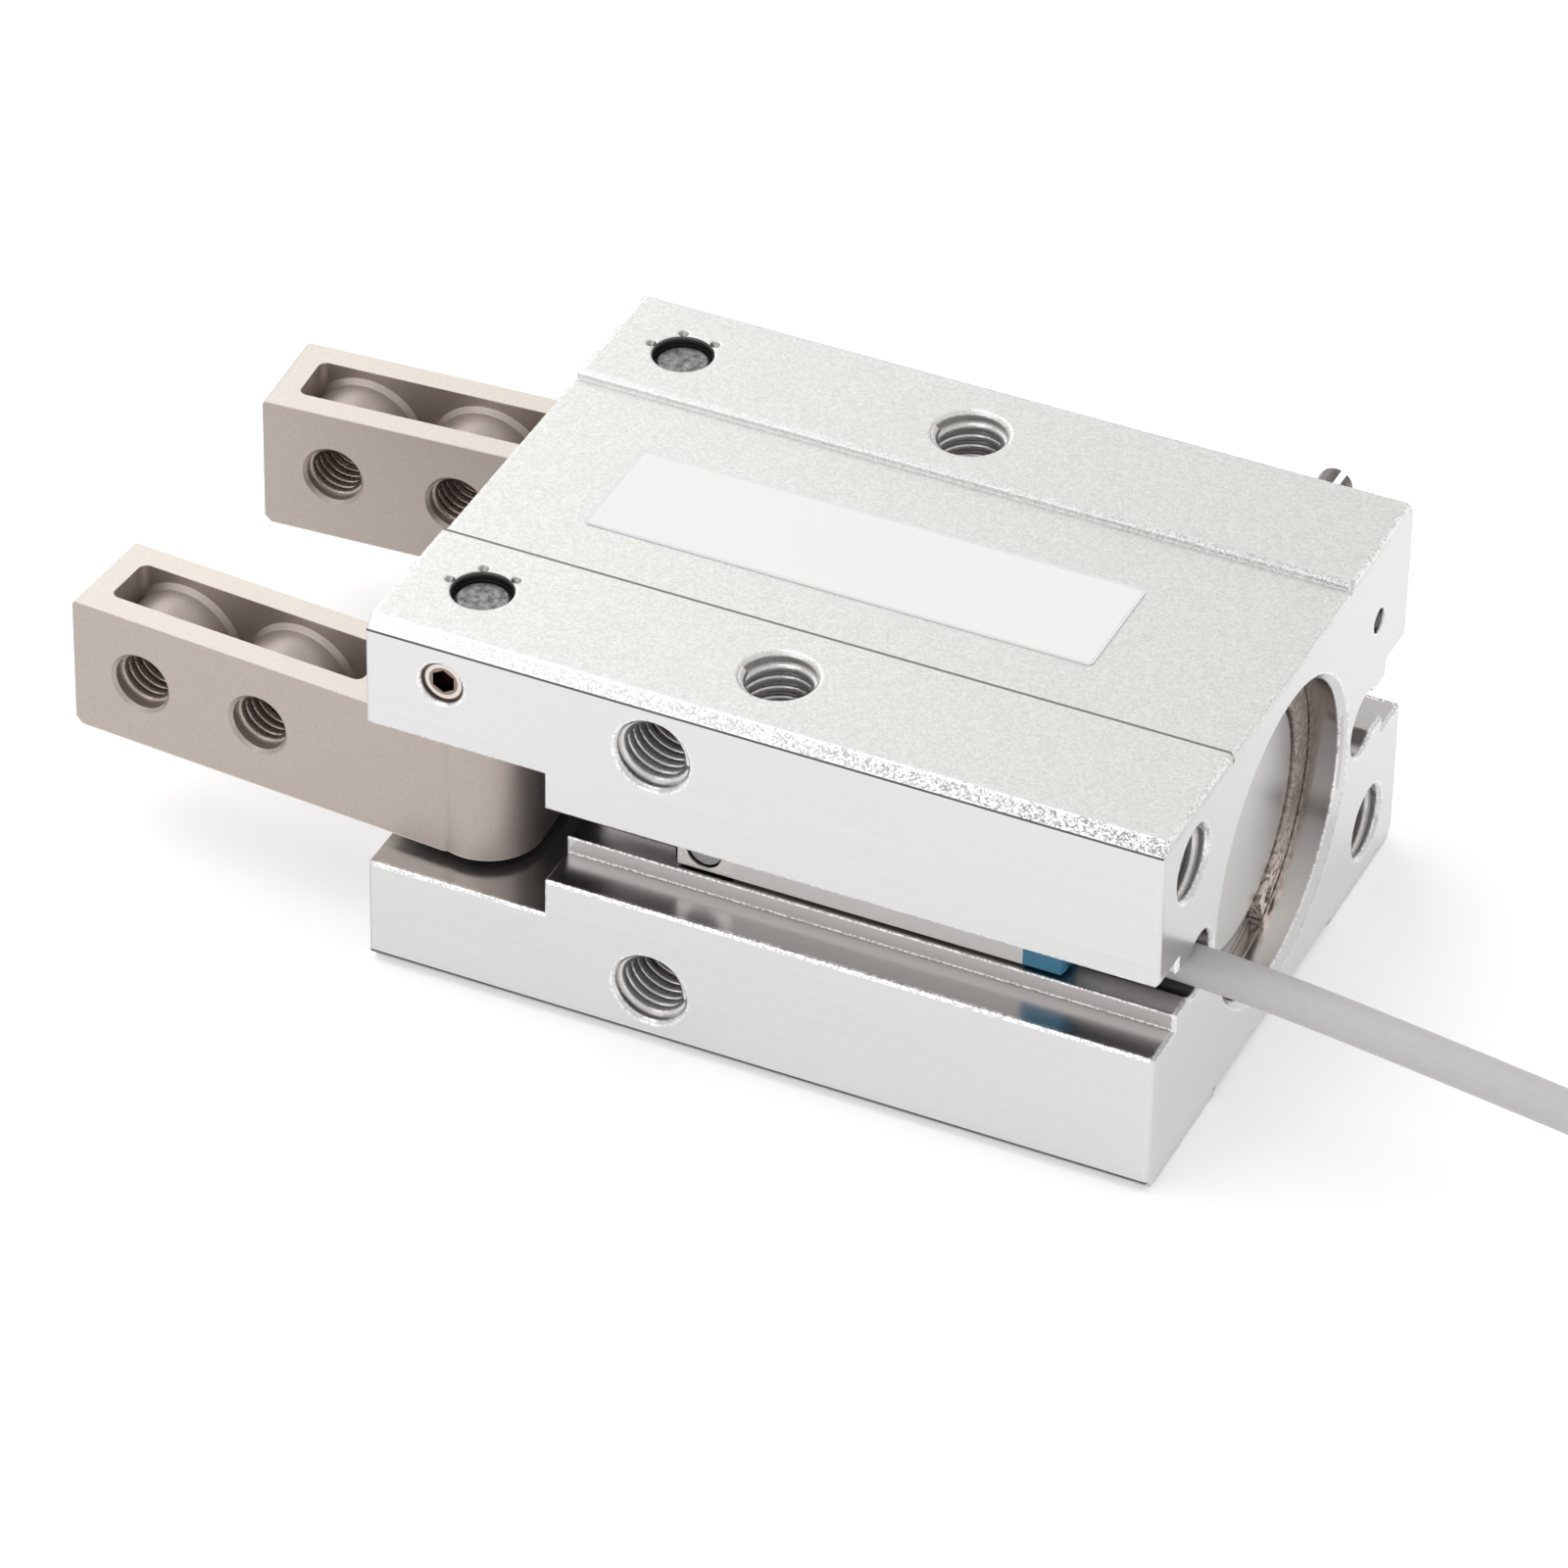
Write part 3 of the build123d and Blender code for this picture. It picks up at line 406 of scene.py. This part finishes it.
# Rating label. A die-cut sticker of white polyester with a pale grey margin, stuck flat on the recessed
# strip. It is satin, so it shows as an even white from every side.
label_x = (-20.0, 15.8)
label_y = (-5.0, 4.1)
label_z = (27.25, 27.33)
corner_radius = 0.4
outline = []
for corner_x, corner_y, first in (
    (label_x[1], label_y[1], 0), (label_x[0], label_y[1], 90),
    (label_x[0], label_y[0], 180), (label_x[1], label_y[0], 270),
):
    toward = Vector((math.copysign(1, corner_x), math.copysign(1, corner_y)))
    centre = Vector((corner_x, corner_y)) - toward * corner_radius
    for step in range(7):
        angle = math.radians(first + 15 * step)
        outline.append(centre + Vector((math.cos(angle), math.sin(angle))) * corner_radius)
shape = bmesh.new()
face = shape.faces.new([shape.verts.new((p.x * mm, p.y * mm, label_z[0] * mm)) for p in outline])
raised = bmesh.ops.extrude_face_region(shape, geom=[face])
for vert in [v for v in raised["geom"] if isinstance(v, bmesh.types.BMVert)]:
    vert.co.z = label_z[1] * mm
bmesh.ops.recalc_face_normals(shape, faces=shape.faces)
label_mesh = bpy.data.meshes.new("blank_label")
shape.to_mesh(label_mesh)
shape.free()
label = bpy.data.objects.new("blank_label", label_mesh)
bpy.context.scene.collection.objects.link(label)
polyester, tree = start_material("white_polyester_label")
point = object_point(tree)[1]
margin = 0.25
printed_area = both(tree, band(tree, point[0], label_x[0] + margin, label_x[1] - margin),
                    band(tree, point[1], label_y[0] + margin, label_y[1] - margin))
show_with(tree, add_node(tree, "ShaderNodeBsdfPrincipled", {
    "Base Color": blend(tree, printed_area, linear("#E3E3E5"), linear("#EDEEEC")), "Roughness": 0.5,
}))
label_mesh.materials.append(polyester)
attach(label, "gripper_body")

# Levers. Metal injection moulded, then sintered steel: a matt, warm grey skin with a fine granular tooth.
# The top and bottom lands are surface-ground, so they are paler and catch the light.
material_lever, tree = start_material("sintered_steel")
coords, point = object_point(tree)
from_middle = reckon(tree, "ABSOLUTE", reckon(tree, "SUBTRACT", point[2], mid_height * mm))
is_land = reckon(tree, "GREATER_THAN", from_middle, 4.88 * mm)
tooth = grained(tree, coords, 0.22, 4.0, 0.65)
moulded_tone = blend(tree, tooth, linear("#A99D97"), linear("#C3B8B2"))
ground_tone = blend(tree, tooth, linear("#CFC7BE"), linear("#E6DFD6"))
relief = add_node(tree, "ShaderNodeBump", {"Height": tooth, "Strength": 0.25, "Distance": 0.03 * mm})
show_with(tree, add_node(tree, "ShaderNodeBsdfPrincipled", {
    "Base Color": blend(tree, is_land, moulded_tone, ground_tone), "Metallic": 0.75, "Roughness": 0.42,
    "Normal": relief.outputs[0],
}))
dress(["near_finger", "far_finger"], material_lever)

# Threads through the fingers, M4, cut after sintering, so the ridges are dark and shiny
tapped_steel = worked_surface("tapped_steel", "#CBBFB8", "#978B84", (0.15, 0.15, 0.15), (0.2, 0.3), 0.75, bump=0.1)
m4_values = {
    "Wall Radius": 2.0 * mm, "Ridge Height": 0.34 * mm, "Pitch": 0.7 * mm, "Turns": 8.7, "Metal": tapped_steel,
}
closed_angle = math.radians(4)
finger_face = 3.8
face_to_thread = 0.75
for side, side_name in ((-1, "near"), (1, "far")):
    along = Vector((-math.cos(closed_angle), -side * math.sin(closed_angle), 0))
    outward = Vector((-math.sin(closed_angle), side * math.cos(closed_angle), 0))
    pivot = Vector((pin_centre[0], side * pin_centre[1], mid_height))
    face = pivot + outward * (finger_face - face_to_thread)
    cut_threads(side_name + "_finger_threads", side_name + "_lever", [
        (face + along * reach, -outward) for reach in (14.85, 23.85)
    ], m4_values)

# Pivot pins. Cropped from steel rod and pushed through both slabs of the body, where the set screws hold
# them. The cropped ends are mottled, and round them a dark rim is painted as shade, where the chamfer turns away.
pin_steel, tree = start_material("cropped_pin_steel")
coords, point = object_point(tree)
off_pin = off_centre(tree, point[0], reckon(tree, "ABSOLUTE", point[1]), pin_centre)
mottle = grained(tree, coords, 0.5, 4.0, 0.65)
tone = blend(tree, spread(tree, mottle, 0.35, 0.65), linear("#5C5A5A"), linear("#A6A4A2"))
# Painted shade: the dark rim round the cropped end
tone = blend(tree, band(tree, off_pin, 1.66, 2.2), tone, linear("#262424"))
dents = add_node(tree, "ShaderNodeBump", {"Height": mottle, "Strength": 0.7, "Distance": 0.05 * mm})
show_with(tree, add_node(tree, "ShaderNodeBsdfPrincipled", {
    "Base Color": tone, "Metallic": 1.0, "Roughness": 0.38, "Normal": dents.outputs[0],
}))
dress(["near_pivot_pin", "far_pivot_pin"], pin_steel)

# Set screws. Turned steel with a hexagon socket, plated, and screwed in from both sides against the pins.
# The plate is pale, the rim where the thread runs is painted dark as shade, the socket is worn brown at its
# mouth, and the socket's depth is painted dark brown as shade.
screw_centre = (pin_centre[0], 24.1)
screw_plate, tree = start_material("plated_set_screw")
point = object_point(tree)[1]
off_screw = off_centre(tree, point[0], point[2], screw_centre)
tone = blend(tree, band(tree, off_screw, 0, 1.02), linear("#D8D0CB"), linear("#8E7C72"))
# Painted shade: a dark rim where the thread runs, and the socket's depth in dark brown
tone = blend(tree, band(tree, off_screw, 1.3, 1.6), tone, linear("#5A4E49"))
tone = blend(tree, band(tree, reckon(tree, "ABSOLUTE", point[1]), 17, 20.45), tone, linear("#5C4A42"))
show_with(tree, add_node(tree, "ShaderNodeBsdfPrincipled", {
    "Base Color": tone, "Metallic": 1.0, "Roughness": 0.22,
}))
dress(["pivot_set_screws"], screw_plate)

# Small steel parts. The rod, the roller pins and the passage ball are ground, and the rollers and the joint
# are hardened. The clip and the joint's bolt are nickel-plated, and the needle screw is blackened.
# Ground: cool grey with a clear shine. Blackened: near black, with a dull one
ground_steel = worked_surface("ground_steel", "#A9A9AA", "#7C7C7E", (0.5, 0.5, 0.12), (0.22, 0.34))
needle_steel = worked_surface("blackened_needle_steel", "#8E8A88", "#4E4B4A", (0.3, 0.3, 0.3), (0.2, 0.35))
# Hardened: an even mid grey. Nickel: paler and warmer, and the brightest of the small parts
hardened_steel = worked_surface("hardened_steel", "#8F8E8E", "#6E6C6B", (0.3, 0.3, 0.3), (0.28, 0.4))
nickel = worked_surface("nickel_plate", "#DAD8D4", "#B9B6B1", (0.25, 0.25, 0.25), (0.12, 0.22), bump=0.1)
dress(["near_roller_pin", "far_roller_pin", "piston_rod", "passage_ball", "switch_screw"], ground_steel)
dress(["near_roller", "far_roller", "rod_joint"], hardened_steel)
dress(["needle_screw"], needle_steel)
dress(["switch_clip", "joint_bolt"], nickel)

# Cylinder. The cap and the piston are turned aluminium. The seals and the stops are moulded rubber, pushed
# into their grooves or on the rod, and the magnet is a bonded ring round the piston.
# Clear turned aluminium: close to the body's own pale grey. Chromated: dull straw yellow
cap_aluminium = worked_surface("turned_aluminium", "#DCDCDB", "#D2D2D1", (0.3, 0.5, 0.5), (0.3, 0.34), bump=0.02)
chromate = worked_surface("chromated_aluminium", "#CDC6AE", "#B9B196", (0.2, 0.6, 0.6), (0.3, 0.4))
# Nitrile: matt black. Bonded magnet: matt dark grey. Urethane: waxy honey brown
nitrile = worked_surface("nitrile_rubber", "#2A2A2A", "#1D1D1D", (0.4, 0.4, 0.4), (0.6, 0.75), 0.0)
magnet_rubber = worked_surface("bonded_magnet", "#3A3A3C", "#2C2C2E", (0.3, 0.3, 0.3), (0.5, 0.65), 0.0)
urethane = worked_surface("urethane_bumper", "#B98F3F", "#A37B31", (0.6, 0.6, 0.6), (0.4, 0.5), 0.0)
dress(["rear_cap"], cap_aluminium)
dress(["piston"], chromate)
dress(["piston_seal", "rod_seal", "cap_seal"], nitrile)
dress(["piston_magnet"], magnet_rubber)
dress(["rod_bumper", "cap_bumper"], urethane)

# Retaining ring. Stamped spring steel with a phosphate coat, sprung into its groove in front of the cap. The
# coat's crystals carry a painted glint at its foot, a painted highlight. They are finer than they are drawn
# here, where they have to show.
spring_steel, tree = start_material("phosphated_spring_steel")
coords, point = object_point(tree)
crystals = add_node(tree, "ShaderNodeTexVoronoi", {"Vector": coords, "Scale": 1 / (0.26 * mm)})
crystal_tone = add_node(tree, "ShaderNodeSeparateColor", {0: crystals.outputs["Color"]})
# Painted highlight: the crystals turn near white towards the ring's foot
painted_glint = both(tree, spread(tree, point[2], 11 * mm, 6 * mm),
             reckon(tree, "GREATER_THAN", crystal_tone.outputs[1], 0.5))
tone = blend(tree, crystal_tone.outputs[0], linear("#A09088"), linear("#D8CCC6"))
tone = blend(tree, painted_glint, tone, linear("#FFF3EC"))
bent = add_node(tree, "ShaderNodeBump", {"Height": crystal_tone.outputs[0], "Strength": 0.6, "Distance": 0.03 * mm})
show_with(tree, add_node(tree, "ShaderNodeBsdfPrincipled", {
    "Base Color": tone, "Metallic": 0.8, "Roughness": 0.4, "Normal": bent.outputs[0],
}))
dress(["retaining_ring"], spring_steel)

# Position switch. A beige resin body with a blue end moulded round the lead, held in the slot by its clip
# and a small screw. Both resins come from the mould satin and even.
beige_resin = worked_surface("beige_switch_resin", "#DEDBD8", "#D6D2CE", (0.5, 0.5, 0.5), (0.38, 0.48), 0.0)
blue_resin = worked_surface("blue_switch_resin", "#3B80A0", "#316F8E", (0.5, 0.5, 0.5), (0.3, 0.4), 0.0)
dress(["switch_housing"], beige_resin)
dress(["switch_end"], blue_resin)

# Switch lead. Half a metre of round oil-proof vinyl cable, 2.7 mm thick, moulded into the switch's end.
# It runs out along the slot and down to the bench, where the rest lies in a flat coil.
lead_diameter = 2.7 * mm
lead_radius = lead_diameter / 2
lead_points = [
    (19.8, -14.15, 13.8), (27.4, -14.15, 13.8), (35.4, -14.55, 13.45), (44.4, -15.2, 12.85),
    (53.5, -15.9, 12.2), (60.5, -15.9, 11.2), (67.5, -14.1, 9.7), (73.6, -10.7, 7.9),
    (79.0, -5.7, 6.2), (82.6, 0.1, 4.9), (84.65, 6.75, 4.05), (84.65, 13.25, 4.05),
]
coil_centre = (67.3, 23.25)
coil_inner, coil_outer, coil_spare = 14.65, 17.35, 20.05
coil_upper, coil_lower = 4.05, 1.35
coil_steps = [
    (0, coil_outer, coil_upper), (330, coil_outer, coil_upper),
    (360, coil_inner, coil_upper), (660, coil_inner, coil_upper),
    (690, coil_inner, coil_lower), (990, coil_inner, coil_lower),
    (1020, coil_outer, coil_lower), (1350, coil_outer, coil_lower),
    (1380, coil_spare, coil_lower), (1475, coil_spare, coil_lower),
]
point_spacing = 15
# A spline of order 3 runs inside its control points by this much
point_reach = 1 / math.cos(math.radians(point_spacing / 2))
for (start, start_radius, start_height), (end, end_radius, end_height) in zip(coil_steps, coil_steps[1:]):
    for angle in range(start, end, point_spacing):
        share = (angle - start) / (end - start)
        reach = (start_radius + (end_radius - start_radius) * share) * point_reach
        lead_points.append((
            coil_centre[0] + reach * math.cos(math.radians(angle)),
            coil_centre[1] + reach * math.sin(math.radians(angle)),
            start_height + (end_height - start_height) * share,
        ))
tail_angle = math.radians(coil_steps[-1][0])
tail_along = Vector((-math.sin(tail_angle), math.cos(tail_angle), 0))
tail_start = Vector((
    coil_centre[0] + coil_spare * math.cos(tail_angle),
    coil_centre[1] + coil_spare * math.sin(tail_angle),
    coil_lower,
))
tail_length = 10
tail_end = tail_start + tail_along * tail_length
lead_points += [tuple(tail_start), tuple(tail_end)]
lead_curve = bpy.data.curves.new("switch_lead", "CURVE")
lead_curve.dimensions = "3D"
lead_spline = lead_curve.splines.new("NURBS")
lead_spline.points.add(len(lead_points) - 1)
for spline_point, lead_point in zip(lead_spline.points, lead_points):
    spline_point.co = (*(Vector(lead_point) * mm), 1)
lead_spline.order_u = 3
lead_spline.use_endpoint_u = True
lead_spline.resolution_u = 8
lead_curve.bevel_depth = lead_radius
lead_curve.bevel_resolution = 6
lead_curve.use_fill_caps = True
lead = bpy.data.objects.new("switch_lead", lead_curve)
bpy.context.scene.collection.objects.link(lead)

# Extruded vinyl: satin, light warm grey, with a faint orange-peel skin
vinyl, tree = start_material("extruded_vinyl_jacket")
peel = grained(tree, object_point(tree)[0], 0.6, 3.0)
skin = add_node(tree, "ShaderNodeBump", {"Height": peel, "Strength": 0.12, "Distance": 0.05 * mm})
show_with(tree, add_node(tree, "ShaderNodeBsdfPrincipled", {
    "Base Color": blend(tree, peel, linear("#BDBABA"), linear("#C7C4C4")), "Roughness": 0.42,
    "Normal": skin.outputs[0],
}))
lead_curve.materials.append(vinyl)

# Ends of the lead: two vinyl-insulated cores, brown and blue, stripped to their tinned copper strands
core_spread = 0.6
core_radius = 0.45
core_length = 5.5
strand_length = 9.0
strand_radius = 0.28
across = Vector((-tail_along.y, tail_along.x, 0))


def rod_mesh(name, start, along, length, radius, sides=16):
    """Make a closed round rod from a start point along a direction, in millimetres."""
    shape = bmesh.new()
    bmesh.ops.create_cone(
        shape, cap_ends=True, segments=sides, radius1=radius * mm, radius2=radius * mm, depth=length * mm,
    )
    turned = Vector(along).to_track_quat("Z", "X").to_matrix().to_4x4()
    bmesh.ops.transform(
        shape, matrix=Matrix.Translation((Vector(start) + Vector(along) * length / 2) * mm) @ turned,
        verts=shape.verts,
    )
    mesh = bpy.data.meshes.new(name)
    shape.to_mesh(mesh)
    shape.free()
    mesh.shade_smooth()
    mesh.set_sharp_from_angle(angle=math.radians(40))
    piece = bpy.data.objects.new(name, mesh)
    bpy.context.scene.collection.objects.link(piece)
    return piece


# Tinned copper: pale, with fine strands along it. Core vinyl: even and satin, in the wires' two colours
copper = worked_surface("tinned_copper_strand", "#D9B48C", "#B88458", (0.1, 0.1, 2.0), (0.3, 0.4))
brown_vinyl = worked_surface("brown_vinyl", "#6B3F26", "#5A331E", (0.3, 0.3, 0.3), (0.4, 0.5), 0.0)
blue_vinyl = worked_surface("blue_vinyl", "#2C5C9E", "#244E88", (0.3, 0.3, 0.3), (0.4, 0.5), 0.0)
core_pieces = []
for side, core_name, insulation in ((-1, "core_brown", brown_vinyl), (1, "core_blue", blue_vinyl)):
    start = tail_end + across * side * core_spread
    core = rod_mesh(core_name, start, tail_along, core_length, core_radius)
    core.data.materials.append(insulation)
    strand = rod_mesh(core_name + "_strand", start, tail_along, strand_length, strand_radius, 10)
    strand.data.materials.append(copper)
    core_pieces += [core, strand]
    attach(core, "gripper_body")
    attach(strand, "gripper_body")
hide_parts("lead_cores")
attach(lead, "gripper_body")
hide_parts("lead_tube", "lead_coil")
